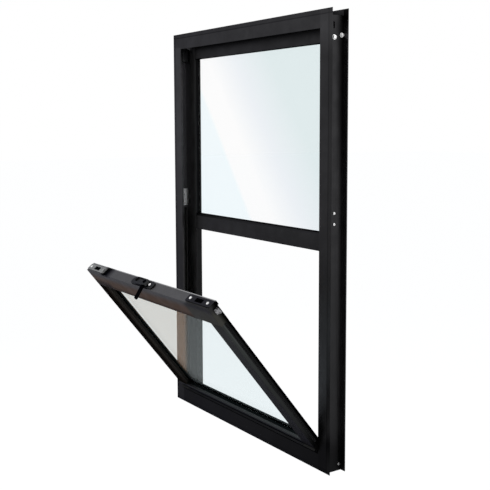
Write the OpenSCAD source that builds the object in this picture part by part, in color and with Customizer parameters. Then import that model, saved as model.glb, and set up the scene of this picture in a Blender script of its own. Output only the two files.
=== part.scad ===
// Single-hung aluminium serving window with its lower sash tilted inwards.
// X runs to the right as seen from indoors, +Y points outdoors and +Z points up.
// The origin lies on the outdoor face of the sill's back flange, at mid-width.

/* [Frame] */
// Overall width of the frame
frame_w = 610; // [500:5:900]
// Overall height of the frame
frame_h = 914; // [820:2:1300]
// Wall thickness of the frame extrusions
frame_wall = 1.8; // [1.4:0.1:2.2]
// Width of the indoor face of the jambs and head
face_w = 36; // [30:0.5:42]
// Width of the darker sloped strip along the outer edge of the indoor face
bevel_w = 9.5; // [5:0.5:14]
// How far that strip falls back at the edge
bevel_d = 0.9; // [0.4:0.1:1.5]
// Depth of the return lip on the inner edge of the indoor face
return_d = 4.5; // [3:0.5:8]
// Depth of the outer channel that takes the edge of the wall
wall_slot = 12; // [6:0.5:16]
// Width of the outdoor leg of the jambs and head
leg_w = 60; // [56:0.5:75]
// Depth of the outdoor leg, from the sash track to the outdoor face
leg_d = 15.8; // [14:0.1:22]

/* [Sill] */
// Height of the indoor face of the sill
sill_face_h = 34; // [28:0.5:40]
// Height of the outdoor flange of the sill
sill_back_h = 24; // [23:0.5:28]
// Height of the floor of the sash track
sill_track_h = 22; // [18:0.5:22]
// Height of the sloped sill top at its outdoor edge
sill_out_h = 18; // [17:0.5:20]

/* [Meeting rail] */
// Height of the underside of the meeting rail
rail_z = 440; // [380:1:560]
// Height of the indoor face of the meeting rail
rail_face_h = 33; // [28:0.5:40]
// Height of the meeting rail up to the lips of its glazing pocket
rail_h = 38; // [36:0.5:46]

/* [Glazing] */
// Thickness of the glass panes
glass_t = 4; // [3:0.5:5]
// Thickness of the tape between the upper pane and the outdoor flange
tape_t = 1; // [0.5:0.1:2]
// Depth of the glazing pockets
pocket_d = 6; // [5:0.5:7]
// Gap left between the edge of a pane and the floor of its pocket
edge_gap = 1; // [0.5:0.5:2]
// How far a glazing bead stands over the visible glass
bead_out = 1.5; // [1:0.5:4]
// Length of the bead's nose along the wall it lies on
bead_run = 5; // [3:0.5:6]
// Thickness of the bead's tongue beside the glass
bead_tongue = 1.5; // [1:0.1:2]

/* [Sash] */
// Angle that the sash leans inwards from upright
tilt = 38.4; // [32:0.2:44]
// Thickness of the sash
sash_t = 20.3; // [19:0.1:25]
// Room left for the sash in its track, across its thickness
sash_play = 3.4; // [2:0.1:5]
// Wall thickness of the sash extrusions
sash_wall = 1.6; // [1.2:0.1:2]
// Gap between the side of the sash and the indoor face of the frame
sash_gap = 0.5; // [0.3:0.1:1.5]
// Height that the closed sash would overlap the meeting rail
sash_overlap = 18; // [15:0.5:30]
// Height of the top rail of the sash
top_rail_h = 47; // [40:0.5:55]
// Height of the bottom rail of the sash
bottom_rail_h = 38; // [34:0.5:60]
// Width of the stiles of the sash
stile_w = 37; // [33:0.5:45]
// Thickness of the lip behind the glass of the sash
sash_lip = 1.8; // [1.4:0.1:2.4]
// Thickness of the tape between that lip and the glass
sash_tape_t = 3.5; // [2:0.1:4]
// Depth of the glazing pocket of the sash
sash_pocket_d = 8; // [6:0.5:9]
// How far the interlock leg of the top rail stands behind the sash
interlock_out = 2.8; // [1:0.1:2.8]
// Height of that leg
interlock_h = 9; // [5:0.5:14]
// How far the lift lip stands off the bottom rail
lift_out = 4; // [2:0.5:7]
// Height of the lift lip above the bottom of the sash
lift_up = 24; // [20:0.5:30]

/* [Seals] */
// Width of the pile strip and of the bottom seal
seal_w = 4.5; // [3.5:0.5:5]
// Depth of the grooves that hold them
seal_groove = 3; // [2.5:0.5:4]
// How far the pile stands out of the stile
pile_out = 2.4; // [1:0.2:4]
// How far the bottom seal stands out of the bottom rail
bulb_out = 2.4; // [1:0.2:3]

/* [Tilt latches] */
// Length of a latch plate
latch_l = 86; // [76:1:100]
// Width of a latch plate
latch_w = 16; // [14:0.5:18]
// Thickness of a latch plate
latch_plate_t = 1.6; // [1:0.1:2.5]
// Depth of the latch roof, from the top of the rail down to the bolt
latch_roof = 9; // [2:0.5:12]
// Distance between the screws of a latch
latch_screw_span = 62; // [54:1:70]
// Length of the finger slot
latch_slot_l = 26; // [20:1:30]
// Width of the finger slot
latch_slot_w = 9.4; // [6:0.2:10]
// How far the bolt stands out of the side of the sash
bolt_out = 9; // [5:0.5:12]
// Height of the bolt
bolt_h = 12; // [7:0.5:14]

/* [Sash lock] */
// Length of the base of the lock
lock_l = 92; // [84:1:110]
// Width of the base of the lock
lock_w = 18; // [16:0.5:19]
// Thickness of the base of the lock
lock_base_h = 3; // [2.5:0.5:5]
// Length of the raised housing between the screws
lock_house_l = 52; // [40:1:56]
// Height of that housing above the top rail
lock_house_h = 9.5; // [8.5:0.5:12]
// Depth of the finger trough in the top of the housing
lock_trough = 3; // [1:0.5:4]
// Distance between the screws of the lock
lock_screw_span = 64; // [60:1:74]
// Distance from the middle of the lock to the pivot of the lever
lock_pivot_x = 16; // [0:1:18]
// Length of the lever from its pivot to its tip
lever_l = 38; // [28:1:50]
// Width of the lever
lever_w = 11; // [8:0.5:12]
// Thickness of the lever
lever_t = 3.2; // [2.5:0.1:3.6]
// How far the tip of the lever hangs down
lever_drop = 9; // [0:0.5:12]

/* [Balances] */
// Height of the clip's lower edge above the meeting rail's underside
clip_up = 55; // [50:1:90]
// Height of the balance clip
clip_h = 42; // [36:1:55]
// Depth from the indoor face to the middle of the clip
clip_d = 18; // [14:0.5:18]
// Depth from the indoor face to the middle of the sash stop
stop_d = 15; // [13:0.5:16]
// Distance between the screws of the clip
clip_screw_span = 21.5; // [18:0.5:24]
// Width of the balance channel
balance_w = 15; // [12:0.5:17]
// Thickness of the balance channel into the jamb
balance_a = 12; // [9:0.5:14]
// Height of the sash stop at the top of each jamb
stop_h = 30; // [20:1:40]
// Height from the top of the frame to the top of the sash stop
stop_down = 36; // [30:1:44]

/* [Fasteners] */
// Radius of the washer heads at the frame corners
corner_head_r = 5; // [3.5:0.5:6]
// Radius of the screw shanks
shank_r = 1.8; // [1.5:0.1:2.2]
// Radius of the pan heads on latches, lock and clips
pan_r = 3.3; // [2.8:0.1:4]

/* [Hidden] */
$fn = 32;
LEFT = 0;
RIGHT = 1;
cut = 1;
seat = 0.3;

half_w = frame_w / 2;
track_d = frame_wall + sash_t + sash_play;
// the indoor face lies at depth 0 and the outdoor face at this depth
frame_d = track_d + leg_d;
// outer skin of the outdoor flange
back_y = frame_d - frame_wall;
// inner face of the jamb web
web_a = wall_slot + frame_wall;
// the glazing pocket of the frame ends against the outdoor flange
upper_glass_d = back_y - tape_t - glass_t;
pocket_y = upper_glass_d - bead_tongue;
pocket_a = leg_w - pocket_d;
origin_z = sill_back_h / 2;

// the sash leans on the sill's indoor face, and its lower corner clears the outdoor leg
pivot_y = frame_wall + seat + sash_t / 2;
pivot_z = sill_face_h
    + (sash_t / 2 + seat - (pivot_y - frame_wall) * cos(tilt)) / sin(tilt);
pivot_up = (track_d - seat - pivot_y - sash_t / 2 * cos(tilt)) / sin(tilt);
sash_w = frame_w - 2 * (face_w + sash_gap);
sash_h = rail_z + sash_overlap - pivot_z + pivot_up;
sash_half = sash_w / 2;
sash_glass_d = sash_t - sash_lip - sash_tape_t - glass_t;
sash_tongue = 1;
sash_pocket_y = sash_glass_d - sash_tongue;
seal_y = sash_t / 2 - seal_w / 2;

rail_pocket_z = rail_h - pocket_d;
// bevel along the indoor edges of the meeting rail
rail_bevel = 1;
upper_low_z = rail_z + rail_h;
upper_high_z = frame_h - leg_w;

// screw positions on the webs of the jambs
boss_r = 3.2;
screw_play = 0.2;
boss_hole_r = shank_r + screw_play;
// how far a boss sinks into the wall it grows from
boss_fuse = 0.7;
boss_y = back_y - corner_head_r - seat;
head_boss = [pocket_a - frame_wall - boss_r + boss_fuse, boss_y];
sill_boss_up = 1.5;
sill_boss = [boss_y, wall_slot + sill_boss_up];
stop_screw_up = 12;
stop_screw_z = frame_h - stop_down - stop_h + stop_screw_up;
clip_z = rail_z + clip_up;
clip_screw_up = 5;
clip_screw_z = clip_z + clip_screw_up;
// slot in the web above the screw of the sash stop
web_slot_up = 16;
web_slot_l = 14;
web_slot_w = 3.6;
corner_screw_l = 14;
stop_screw_l = 10;
// gap between the pieces in the sash track and the lip of the indoor face
lip_gap = 2;

// placing of drawings and pieces
module place() translate([0, -frame_d, -origin_z]) children();

module on_sash()
    place()
    translate([0, pivot_y, pivot_z]) rotate([tilt, 0, 0]) translate([0, -sash_t / 2, -pivot_up])
    children();

module on_side(side) mirror([side, 0, 0]) children();

module along_x(x0, x1) translate([x0, 0, 0]) rotate([90, 0, 90]) linear_extrude(x1 - x0) children();

module along_y(y0, y1) translate([0, y1, 0]) rotate([90, 0, 0]) linear_extrude(y1 - y0) children();

module along_z(z0, z1) translate([0, 0, z0]) linear_extrude(z1 - z0) children();

// a rectangle between two corners
module area(x0, y0, x1, y1) translate([x0, y0]) square([x1 - x0, y1 - y0]);

module round_area(x0, y0, x1, y1, r) {
    area(x0 + r, y0, x1 - r, y1);
    area(x0, y0 + r, x1, y1 - r);
    for (x = [x0 + r, x1 - r], y = [y0 + r, y1 - r]) translate([x, y]) circle(r);
}

// a slot shape with round ends, l long over all
module stadium(l, w) {
    area((w - l) / 2, -w / 2, (l - w) / 2, w / 2);
    for (x = [(w - l) / 2, (l - w) / 2]) translate([x, 0]) circle(w / 2);
}

// frame profiles: x is the distance in from the frame's edge, y the depth from indoors
module face_profile(w, lip) {
    polygon([
        [0, bevel_d], [bevel_w, 0], [w, 0], [w, lip], [w - frame_wall, lip],
        [w - frame_wall, frame_wall], [0, frame_wall]
    ]);
}

module leg_profile() {
    area(web_a, track_d, leg_w, track_d + frame_wall);
    area(leg_w - frame_wall, track_d, leg_w, pocket_y);
    area(pocket_a - frame_wall, pocket_y - frame_wall, leg_w, pocket_y);
    area(pocket_a - frame_wall, pocket_y - frame_wall, pocket_a, back_y);
}

module screw_boss(gap_turn) {
    difference() {
        circle(boss_r);
        circle(boss_hole_r);
        rotate(gap_turn) area(0, -boss_hole_r * 0.6, boss_r + cut, boss_hole_r * 0.6);
    }
}

// 2D mitre masks in the plane of the window
module jamb_mask(w, low)
    polygon([
        [-half_w - cut, -cut], [-half_w + low, low], [-half_w + w + cut, low],
        [-half_w + w + cut, frame_h - w - cut], [-half_w - cut, frame_h + cut]
    ]);

module head_mask(w)
    polygon([
        [-half_w - cut, frame_h + cut], [half_w + cut, frame_h + cut],
        [half_w - w - cut, frame_h - w - cut], [-half_w + w + cut, frame_h - w - cut]
    ]);

module sill_mask(h)
    polygon([
        [-half_w - cut, -cut], [-half_w + h, h], [-half_w + h, h + cut],
        [half_w - h, h + cut], [half_w - h, h], [half_w + cut, -cut]
    ]);

// the space that the sill takes up under its top surface
module sill_space()
    polygon([
        [-cut, -cut], [frame_d + cut, -cut], [frame_d + cut, sill_out_h],
        [back_y, sill_out_h], [track_d, sill_track_h], [-cut, sill_track_h]
    ]);

module frame_jamb(side) {
    place() on_side(side) difference() {
        union() {
            intersection() {
                translate([-half_w, 0, 0]) along_z(0, frame_h) face_profile(face_w, return_d);
                along_y(-cut, return_d + cut) jamb_mask(face_w, sill_face_h);
            }
            intersection() {
                translate([-half_w, 0, 0]) along_z(0, frame_h) area(0, back_y, leg_w, frame_d);
                along_y(back_y - cut, frame_d + cut) jamb_mask(leg_w, sill_back_h);
            }
            translate([-half_w, 0, 0])
                along_z(0, frame_h - wall_slot) area(wall_slot, frame_wall, web_a, back_y);
            difference() {
                translate([-half_w, 0, 0])
                    along_z(sill_out_h - cut, frame_h - leg_w) leg_profile();
                along_x(-half_w, 0) sill_space();
            }
        }
        jamb_holes();
    }
}

// screw holes and the dark slot near the top of the web
module jamb_holes() {
    at_web(head_boss[1], frame_h - head_boss[0]) web_hole(shank_r + seat);
    at_web(sill_boss[0], sill_boss[1]) web_hole(shank_r + seat);
    at_web(stop_d, stop_screw_z) web_hole(shank_r + seat);
    for (k = [0, 1]) at_web(clip_d, clip_screw_z + k * clip_screw_span) web_hole(shank_r + seat);
    at_web(stop_d, stop_screw_z + web_slot_up) web_slot(web_slot_l, web_slot_w);
}

module at_web(y, z) translate([-half_w + wall_slot, y, z]) rotate([0, 90, 0]) children();

module web_hole(r) translate([0, 0, -cut]) cylinder(r = r, h = frame_wall + 2 * cut);

module web_slot(l, w) translate([-l / 2, 0, -cut]) linear_extrude(frame_wall + 2 * cut) stadium(l, w);

module frame_jamb_left() color([0.13, 0.13, 0.14]) frame_jamb(LEFT);

module frame_jamb_right() color([0.13, 0.13, 0.14]) frame_jamb(RIGHT);

// turns a frame profile so that it hangs from the head
module head_turn() translate([0, frame_h]) rotate(-90) children();

module frame_head() color([0.13, 0.13, 0.14]) place() {
    intersection() {
        along_x(-half_w, half_w) head_turn() face_profile(face_w, return_d);
        along_y(-cut, return_d + cut) head_mask(face_w);
    }
    intersection() {
        along_x(-half_w, half_w) head_turn() area(0, back_y, leg_w, frame_d);
        along_y(back_y - cut, frame_d + cut) head_mask(leg_w);
    }
    along_x(-half_w + web_a, half_w - web_a) head_turn() {
        area(wall_slot, frame_wall, web_a, back_y);
        leg_profile();
        translate(head_boss) screw_boss(180);
    }
}

module frame_sill() color([0.12, 0.12, 0.13]) place() {
    intersection() {
        along_x(-half_w, half_w)
            polygon([
                [bevel_d, 0], [0, bevel_w], [0, sill_face_h], [frame_wall, sill_face_h],
                [frame_wall, 0]
            ]);
        along_y(-cut, frame_wall + cut) sill_mask(sill_face_h);
    }
    intersection() {
        along_x(-half_w, half_w) area(back_y, 0, frame_d, sill_back_h);
        along_y(back_y - cut, frame_d + cut) sill_mask(sill_back_h);
    }
    along_x(-half_w + web_a, half_w - web_a) {
        difference() {
            area(frame_wall, wall_slot, back_y, web_a);
            translate(sill_boss) circle(boss_hole_r);
        }
        polygon([
            [frame_wall, sill_track_h], [track_d, sill_track_h], [back_y, sill_out_h],
            [back_y, sill_out_h - frame_wall], [track_d, sill_track_h - frame_wall],
            [frame_wall, sill_track_h - frame_wall]
        ]);
        area(track_d - frame_wall, wall_slot, track_d, sill_track_h);
        translate(sill_boss) screw_boss(-90);
    }
}

// meeting rail: x is the depth from indoors, y the height above its underside
module rail_profile() {
    difference() {
        polygon([
            [track_d, rail_bevel], [track_d + rail_bevel, 0], [frame_d, 0], [frame_d, rail_h],
            [back_y, rail_h], [back_y, rail_pocket_z], [pocket_y, rail_pocket_z],
            [pocket_y, rail_h], [pocket_y - frame_wall, rail_h],
            [track_d + rail_bevel, rail_face_h + rail_bevel / 2],
            [track_d, rail_face_h - rail_bevel / 2]
        ]);
        area(track_d + frame_wall, frame_wall, back_y, rail_pocket_z - frame_wall);
    }
}

module meeting_rail() color([0.14, 0.14, 0.15]) place()
    along_x(-half_w + leg_w, half_w - leg_w) translate([0, rail_z]) rail_profile();

// fixed glass with its beads and tape
module upper_glass() color([0.85, 0.93, 0.95, 0.5]) place()
    along_y(upper_glass_d, upper_glass_d + glass_t)
    area(-half_w + pocket_a + edge_gap, rail_z + rail_pocket_z + edge_gap,
        half_w - pocket_a - edge_gap, frame_h - pocket_a - edge_gap);

// width of the bead's flat top, and thickness of the jamb filler's hooks
bead_top = 0.8;
filler_hook = 1;

// bead section: x grows towards the middle of the pane from the wall it lies on
module bead_profile(glass_y, tongue_l, tongue_t) {
    polygon([
        [0, glass_y - bead_run], [bead_top, glass_y - bead_run], [bead_out, glass_y - tongue_t],
        [bead_out, glass_y], [-tongue_l, glass_y], [-tongue_l, glass_y - tongue_t],
        [0, glass_y - tongue_t]
    ]);
}

// 2D mitre mask of the lower strip of a rectangular ring, spreading out past its tongue
module strip_mask(x0, z0, x1, z1, out) {
    m = min(x1 - x0, z1 - z0) / 2;
    polygon([
        [x0 - out, z0 - out], [x1 + out, z0 - out], [x1 - m, z0 + m], [x0 + m, z0 + m]
    ]);
}

// one strip of a bead ring round the opening x0..x1, z0..z1
module bead_level(x0, z0, x1, z1, glass_y, tongue_l, tongue_t)
    intersection() {
        translate([0, 0, z0]) along_x(x0 - tongue_l, x1 + tongue_l)
            rotate(90) mirror([0, 1]) bead_profile(glass_y, tongue_l, tongue_t);
        along_y(glass_y - bead_run - cut, glass_y + cut)
            strip_mask(x0, z0, x1, z1, tongue_l + cut);
    }

module bead_upright(x0, z0, x1, z1, glass_y, tongue_l, tongue_t)
    intersection() {
        translate([x0, 0, 0]) along_z(z0 - tongue_l, z1 + tongue_l)
            bead_profile(glass_y, tongue_l, tongue_t);
        along_y(glass_y - bead_run - cut, glass_y + cut)
            difference() {
                area(x0 - tongue_l - cut, z0 - tongue_l, x0 + bead_out + cut, z1 + tongue_l);
                strip_mask(x0, z0, x1, z1, tongue_l + cut);
                translate([0, z0 + z1]) mirror([0, 1]) strip_mask(x0, z0, x1, z1, tongue_l + cut);
            }
    }

upper_tongue = pocket_d - edge_gap;

module upper_level()
    bead_level(-half_w + leg_w, upper_low_z, half_w - leg_w, upper_high_z,
        upper_glass_d, upper_tongue, bead_tongue);

module upper_upright()
    bead_upright(-half_w + leg_w, upper_low_z, half_w - leg_w, upper_high_z,
        upper_glass_d, upper_tongue, bead_tongue);

module upper_bead_bottom() color([0.05, 0.05, 0.05]) place() upper_level();

module upper_bead_top() color([0.05, 0.05, 0.05]) place()
    translate([0, 0, upper_low_z + upper_high_z]) mirror([0, 0, 1]) upper_level();

module upper_bead_left() color([0.05, 0.05, 0.05]) place() upper_upright();

module upper_bead_right() color([0.05, 0.05, 0.05]) place() on_side(RIGHT) upper_upright();

module tape_ring(x, z0, z1, w)
    difference() {
        area(-x, z0, x, z1);
        area(-x + w, z0 + w, x - w, z1 - w);
    }

module upper_glazing_tape() color([0.05, 0.05, 0.05]) place()
    along_y(upper_glass_d + glass_t, back_y)
    tape_ring(half_w - pocket_a - edge_gap, rail_z + rail_pocket_z + edge_gap,
        frame_h - pocket_a - edge_gap, pocket_d - edge_gap);

// strip that closes the unused glazing pocket of a jamb below the meeting rail
module jamb_filler(side)
    place() on_side(side) difference() {
        translate([-half_w, 0, 0]) along_z(sill_out_h - cut, rail_z) {
            area(leg_w - frame_wall, pocket_y, leg_w, back_y);
            area(pocket_a, pocket_y, leg_w, pocket_y + filler_hook);
            area(pocket_a, back_y - filler_hook, leg_w, back_y);
        }
        along_x(-half_w, 0) sill_space();
    }

module jamb_fillers() color([0.16, 0.16, 0.17]) for (side = [LEFT, RIGHT]) jamb_filler(side);

// pieces in the sash track of a jamb
stop_a = face_w - lip_gap - web_a;
stop_w = 15;
stop_r = 1.5;

module sash_stop(side)
    place() on_side(side)
    translate([-half_w + web_a, stop_d - stop_w / 2, frame_h - stop_down - stop_h])
    difference() {
        linear_extrude(stop_h) round_area(0, 0, stop_a, stop_w, stop_r);
        translate([-cut, stop_w / 2, stop_screw_up]) rotate([0, 90, 0])
            cylinder(r = boss_hole_r, h = stop_screw_l);
    }

module sash_stop_left() color([0.2, 0.2, 0.2]) sash_stop(LEFT);

module sash_stop_right() color([0.2, 0.2, 0.2]) sash_stop(RIGHT);

clip_w = 11;
clip_t = 2;
clip_hook_a = 14;
clip_notch = 5;
clip_notch_r = 3;
clip_notch_z = clip_h * 0.52;
clip_mouth = clip_h * 0.1;
clip_corner = 4;
clip_toe = 2;

// bent zinc clip: a base on the web, a standing hook with a notch and a lower toe
module balance_clip(side)
    place() on_side(side) translate([-half_w + web_a, clip_d - clip_w / 2, clip_z]) {
        difference() {
            cube([clip_t, clip_w, clip_h]);
            for (k = [0, 1]) translate([-cut, clip_w / 2, clip_screw_up + k * clip_screw_span])
                rotate([0, 90, 0]) cylinder(r = boss_hole_r, h = clip_t + 2 * cut);
        }
        difference() {
            translate([0, clip_w - clip_t, 0]) along_y(0, clip_t) clip_outline();
            translate([clip_hook_a - clip_notch, clip_w - clip_t - cut, clip_notch_z])
                rotate([-90, 0, 0]) cylinder(r = clip_notch_r, h = clip_t + 2 * cut);
        }
    }

module clip_outline()
    polygon([
        [0, 0], [clip_hook_a - clip_corner, clip_toe], [clip_hook_a, clip_toe + clip_corner],
        [clip_hook_a, clip_notch_z - clip_mouth], [clip_hook_a - clip_notch, clip_notch_z],
        [clip_hook_a, clip_notch_z + clip_mouth], [clip_hook_a, clip_h - clip_corner],
        [clip_hook_a - clip_corner, clip_h], [0, clip_h]
    ]);

module balance_clip_left() color([0.6, 0.61, 0.62]) balance_clip(LEFT);

module balance_clip_right() color([0.6, 0.61, 0.62]) balance_clip(RIGHT);

shoe_h = 34;
// how far the shoe reaches below the pivot
shoe_low = 13;
cam_r = 7.5;
bar_h = 10;
bar_t = 3;
// the pivot bar ends this far in from the frame's edge, and this far inside the bottom rail
bar_end_a = web_a + 5.3;
bar_in = 26;
balance_t = 1.2;

module balance_shoe(side)
    place() on_side(side) translate([-half_w + web_a + seat, pivot_y, pivot_z]) difference() {
        union() {
            translate([0, -balance_w / 2, -shoe_low]) cube([balance_a, balance_w, shoe_h]);
            rotate([0, 90, 0]) cylinder(r = cam_r, h = stop_a);
        }
        rotate([tilt, 0, 0])
            translate([bar_end_a - web_a - 2 * seat, -(bar_t + seat) / 2, -(bar_h + seat) / 2])
            cube([face_w, bar_t + seat, bar_h + seat]);
    }

module balance_shoe_left() color([0.1, 0.1, 0.1]) balance_shoe(LEFT);

module balance_shoe_right() color([0.1, 0.1, 0.1]) balance_shoe(RIGHT);

// U-shaped balance channel standing on the shoe
module balance(side)
    place() on_side(side) translate([-half_w + web_a + seat, pivot_y - balance_w / 2, 0])
    along_z(pivot_z - shoe_low + shoe_h, clip_z - clip_screw_up)
    difference() {
        area(0, 0, balance_a, balance_w);
        area(balance_t, balance_t, balance_a + cut, balance_w - balance_t);
    }

module balance_left() color([0.1, 0.1, 0.1]) balance(LEFT);

module balance_right() color([0.1, 0.1, 0.1]) balance(RIGHT);

// flat steel bar held under the bottom rail, reaching into the cam of the shoe
module pivot_bar(side)
    on_sash() on_side(side)
    translate([-half_w + bar_end_a, sash_t / 2 - bar_t / 2, pivot_up - bar_h / 2])
    cube([face_w + sash_gap - bar_end_a + bar_in, bar_t, bar_h]);

module pivot_bar_left() color([0.6, 0.6, 0.6]) pivot_bar(LEFT);

module pivot_bar_right() color([0.6, 0.6, 0.6]) pivot_bar(RIGHT);

washer_t = 1.2;
hex_h = 4;
hex_r = corner_head_r * 0.8;
pan_h = 2;

// hexagonal washer head lying on the web, pointing out of the frame
module washer_screw(l) {
    rotate([0, -90, 0]) {
        cylinder(r = corner_head_r, h = washer_t);
        cylinder(r = hex_r, h = hex_h, $fn = 6);
    }
    rotate([0, 90, 0]) cylinder(r = shank_r, h = l);
}

module pan_screw(l) {
    rotate_extrude() polygon([
        [0, 0], [pan_r, 0], [pan_r, pan_h * 0.35], [pan_r * 0.8, pan_h * 0.75],
        [pan_r * 0.4, pan_h * 0.95], [0, pan_h]
    ]);
    translate([0, 0, -l]) cylinder(r = shank_r, h = l + pan_h / 4);
}

module corner_screws() color([0.75, 0.75, 0.75]) place()
    for (side = [LEFT, RIGHT]) on_side(side) translate([-half_w + wall_slot, 0, 0]) {
        translate([0, head_boss[1], frame_h - head_boss[0]]) washer_screw(corner_screw_l);
        translate([0, sill_boss[0], sill_boss[1]]) rotate([0, -90, 0]) pan_screw(corner_screw_l);
    }

module channel_screws() color([0.75, 0.75, 0.75]) place()
    for (side = [LEFT, RIGHT]) on_side(side) translate([-half_w + wall_slot, 0, 0]) {
        translate([0, stop_d, stop_screw_z]) washer_screw(stop_screw_l);
        for (k = [0, 1]) translate([0, clip_d, clip_screw_z + k * clip_screw_span])
            rotate([0, -90, 0]) pan_screw(frame_wall + clip_t);
    }

// radius along the outer edges of the sash
sash_r = 0.8;

// sash profiles: x is the distance in from the sash's edge, y the depth from indoors
module sash_profile(w, groove) {
    pocket_x = w - sash_pocket_d;
    difference() {
        round_area(0, 0, w, sash_t, sash_r);
        area(pocket_x, sash_pocket_y, w + cut, sash_t - sash_lip);
        difference() {
            union() {
                area(sash_wall, sash_wall, pocket_x - sash_wall, sash_t - sash_wall);
                area(sash_wall, sash_wall, w - sash_wall, sash_pocket_y - sash_wall);
            }
            if (groove)
                area(0, seal_y - sash_wall, seal_groove + sash_wall, seal_y + seal_w + sash_wall);
        }
        if (groove) area(-cut, seal_y, seal_groove, seal_y + seal_w);
    }
}

// end caps that close a hollow rail of the sash
module rail_ends()
    for (side = [LEFT, RIGHT]) on_side(side) along_x(-sash_half, -sash_half + sash_wall) children();

module sash_top_rail() color([0.2, 0.2, 0.21]) on_sash() difference() {
    union() {
        along_x(-sash_half, sash_half) top_rail_turn() sash_profile(top_rail_h, false);
        rail_ends() top_rail_turn() round_area(0, 0, top_rail_h, sash_t, sash_r);
        along_x(-sash_half, sash_half) top_rail_turn()
            area(0, sash_t - sash_wall, interlock_h, sash_t + interlock_out);
    }
    for (side = [LEFT, RIGHT]) on_side(side) {
        translate([-sash_half - cut, latch_y - bolt_w / 2 - seat, sash_h - bolt_low - seat])
            cube([sash_wall + 2 * cut, bolt_w + 2 * seat, bolt_h + 2 * seat]);
        translate([-sash_half + latch_body_x - seat, latch_y - latch_body_w / 2 - seat,
            sash_h - sash_wall - cut])
            cube([latch_body_l + 2 * seat, latch_body_w + 2 * seat, sash_wall + 2 * cut]);
        for (x = latch_screw_x) translate([-sash_half + x, latch_y, sash_h - sash_wall - cut])
            cylinder(r = boss_hole_r, h = sash_wall + 2 * cut);
    }
    for (x = [-lock_screw_span / 2, lock_screw_span / 2])
        translate([x, lock_y, sash_h - sash_wall - cut])
            cylinder(r = boss_hole_r, h = sash_wall + 2 * cut);
}

module top_rail_turn() translate([0, sash_h]) rotate(-90) children();

lift_t = 3;
lift_bevel = 0.8;

module sash_bottom_rail() color([0.12, 0.12, 0.13]) on_sash() {
    difference() {
        union() {
            along_x(-sash_half, sash_half) bottom_rail_turn() sash_profile(bottom_rail_h, true);
            rail_ends() bottom_rail_turn() round_area(0, 0, bottom_rail_h, sash_t, sash_r);
        }
        for (side = [LEFT, RIGHT]) on_side(side)
            translate([-sash_half - cut, sash_t / 2 - bar_t / 2, pivot_up - bar_h / 2])
            cube([bar_in + cut, bar_t, bar_h]);
    }
    along_x(-sash_half, sash_half)
        polygon([
            [0, lift_up - lift_t], [lift_bevel - lift_out, lift_up - lift_t + lift_bevel],
            [-lift_out, lift_up - lift_t + 2 * lift_bevel], [-lift_out, lift_up - lift_bevel],
            [lift_bevel - lift_out, lift_up], [0, lift_up + lift_bevel]
        ]);
}

module bottom_rail_turn() rotate(90) mirror([0, 1]) children();

module sash_stile(side) on_sash() on_side(side)
    translate([-sash_half, 0, 0]) along_z(bottom_rail_h, sash_h - top_rail_h)
    sash_profile(stile_w, true);

module sash_stile_left() color([0.18, 0.17, 0.17]) sash_stile(LEFT);

module sash_stile_right() color([0.18, 0.17, 0.17]) sash_stile(RIGHT);

sash_open_x = sash_half - stile_w;
sash_low_z = bottom_rail_h;
sash_high_z = sash_h - top_rail_h;
sash_edge = sash_pocket_d - edge_gap;

module sash_glass() color([0.8, 0.88, 0.9, 0.5]) on_sash()
    along_y(sash_glass_d, sash_glass_d + glass_t)
    area(-sash_open_x - sash_edge, sash_low_z - sash_edge,
        sash_open_x + sash_edge, sash_high_z + sash_edge);

module sash_level()
    bead_level(-sash_open_x, sash_low_z, sash_open_x, sash_high_z, sash_glass_d, sash_edge, sash_tongue);

module sash_upright()
    bead_upright(-sash_open_x, sash_low_z, sash_open_x, sash_high_z, sash_glass_d, sash_edge, sash_tongue);

module sash_bead_bottom() color([0.3, 0.33, 0.32]) on_sash() sash_level();

module sash_bead_top() color([0.3, 0.33, 0.32]) on_sash()
    translate([0, 0, sash_low_z + sash_high_z]) mirror([0, 0, 1]) sash_level();

module sash_bead_left() color([0.3, 0.33, 0.32]) on_sash() sash_upright();

module sash_bead_right() color([0.3, 0.33, 0.32]) on_sash() on_side(RIGHT) sash_upright();

module sash_glazing_tape() color([0.05, 0.05, 0.05]) on_sash()
    along_y(sash_glass_d + glass_t, sash_t - sash_lip)
    tape_ring(sash_open_x + sash_edge, sash_low_z - sash_edge, sash_high_z + sash_edge, sash_edge);

module sash_pile(side) on_sash() on_side(side)
    translate([-sash_half, 0, 0]) along_z(bottom_rail_h, sash_high_z)
    area(-pile_out, seal_y, seal_groove, seal_y + seal_w);

module sash_piles() color([0.06, 0.06, 0.06]) for (side = [LEFT, RIGHT]) sash_pile(side);

// gap between the pivot bar and the end of the bottom seal
seal_gap = 2;

module sash_bottom_seal() color([0.05, 0.05, 0.05]) on_sash()
    along_x(-sash_half + bar_in + seal_gap, sash_half - bar_in - seal_gap) {
        area(seal_y, 0, seal_y + seal_w, seal_groove);
        translate([sash_t / 2, 0]) difference() {
            circle(bulb_out);
            area(-bulb_out - cut, 0, bulb_out + cut, bulb_out + cut);
        }
    }

// tilt latches, drawn for the left end of the top rail
latch_y = sash_t / 2 + 0.8;
latch_mid = latch_l / 2;
// the plate starts this far in from the end of the rail
latch_plate_in = 0.5;
latch_plate_r = 2;
latch_screw_x = [latch_mid - latch_screw_span / 2, latch_mid + latch_screw_span / 2];
latch_body_l = latch_screw_span - 2 * pan_r - 3;
latch_slot_end = latch_mid + latch_slot_l / 2;
latch_body_w = 12;
latch_body_x = latch_mid - latch_body_l / 2;
bolt_w = 8.6;
bolt_nose_t = 2;
bolt_nose_in = 1;
bolt_low = bolt_h + latch_roof + seat;
latch_deep = bolt_low + seat;

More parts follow.
